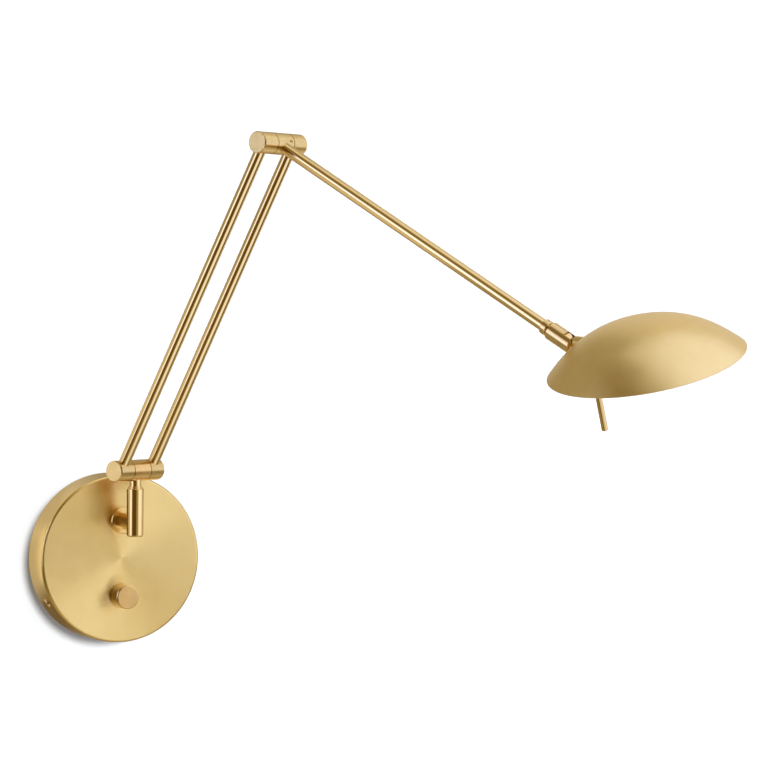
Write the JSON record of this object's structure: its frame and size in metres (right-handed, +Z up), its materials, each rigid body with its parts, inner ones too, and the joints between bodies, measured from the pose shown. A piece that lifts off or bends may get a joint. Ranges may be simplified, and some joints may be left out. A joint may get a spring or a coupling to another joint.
{
  "type": "led wall light",
  "caption": "Satin brass reading light for a wall: round canopy with dimmer knob, swivelling jointed arm, and a domed shade that turns and tilts.",
  "frame": {"origin": "centre of the canopy's back on the wall", "axes": "+X to the right along the wall, +Y into the wall, +Z up"},
  "size_m": [0.3162, 0.4885, 0.3586],
  "materials": {
    "satin_brass": "satin",
    "zinc_steel": "satin",
    "dark_steel": "satin",
    "screw_brass": "bright",
    "white_plastic": "matt",
    "ivory_plastic": "matt",
    "black_plastic": "matt",
    "aluminium": "satin",
    "white_board": "gloss",
    "led_yellow": "gloss",
    "opal_cover": "frosted"
  },
  "bodies": {
    "wall_base": {"wall_bracket": "zinc_steel", "canopy": "satin_brass", "canopy_screws": "satin_brass", "rosette": "satin_brass", "stem": "satin_brass", "stem_tube": "zinc_steel", "stem_nut": "zinc_steel", "post": "satin_brass", "post_grub_screw": "dark_steel", "driver_case": "white_plastic", "driver_screws": "zinc_steel", "terminal_block": "ivory_plastic", "terminal_screws": "zinc_steel", "earth_screw": "screw_brass", "dimmer_body": "black_plastic", "dimmer_nut": "zinc_steel"},
    "knob": {"dimmer_knob": "satin_brass", "dimmer_shaft": "zinc_steel", "knob_grub_screw": "dark_steel"},
    "swivel": {"swivel_pin": "satin_brass", "lower_knuckle": "satin_brass"},
    "lower_arm": {"lower_barrel_left": "satin_brass", "lower_barrel_right": "satin_brass", "lower_axle": "zinc_steel", "lower_washers": "black_plastic", "lower_tube_left": "satin_brass", "lower_tube_right": "satin_brass", "upper_barrel_left": "satin_brass", "upper_barrel_right": "satin_brass", "elbow_axle": "zinc_steel", "elbow_washers": "black_plastic"},
    "upper_arm": {"elbow_knuckle": "satin_brass", "elbow_grub_screw": "dark_steel", "upper_tube": "satin_brass", "arm_collar": "satin_brass", "coupling_spigot": "satin_brass"},
    "turning_head": {"head_coupling": "satin_brass", "coupling_grub_screw": "dark_steel", "tilt_pin": "satin_brass"},
    "shade": {"shade_shell": "satin_brass", "tilt_stud": "satin_brass", "stud_nut": "zinc_steel", "joint_block": "satin_brass", "handle_rod": "satin_brass", "heat_sink": "aluminium", "led_board": "white_board", "leds": "led_yellow", "diffuser": "opal_cover", "diffuser_ring": "white_plastic"}
  },
  "joints": [
    {"name": "knob_turn", "type": "hinge", "parent": "wall_base", "child": "knob", "pos_m": [0, -0.0335, -0.0265], "axis": [0, -1, 0], "range_deg": [-150, 150]},
    {"name": "arm_swivel", "type": "hinge", "parent": "wall_base", "child": "swivel", "pos_m": [0, -0.0524, 0.0641], "axis": [0, 0, 1], "range_deg": [-113.8, 56.2]},
    {"name": "lower_arm_tilt", "type": "hinge", "parent": "swivel", "child": "lower_arm", "pos_m": [0, -0.0524, 0.0641], "axis": [0.8763, 0.4818, 0], "range_deg": [-28.6, 81.4]},
    {"name": "elbow", "type": "hinge", "parent": "lower_arm", "child": "upper_arm", "pos_m": [0.05961, -0.16084, 0.29106], "axis": [0.8763, 0.4818, 0], "range_deg": [-90, 40]},
    {"name": "head_turn", "type": "hinge", "parent": "upper_arm", "child": "turning_head", "pos_m": [0.17156, -0.36448, 0.15958], "axis": [0.4193, -0.7627, -0.4924], "range_deg": [-187.3, 142.7]},
    {"name": "shade_tilt", "type": "hinge", "parent": "turning_head", "child": "shade", "pos_m": [0.17156, -0.36448, 0.15958], "axis": [-0.9008, -0.282, -0.3303], "range_deg": [-58.6, 50]}
  ]
}
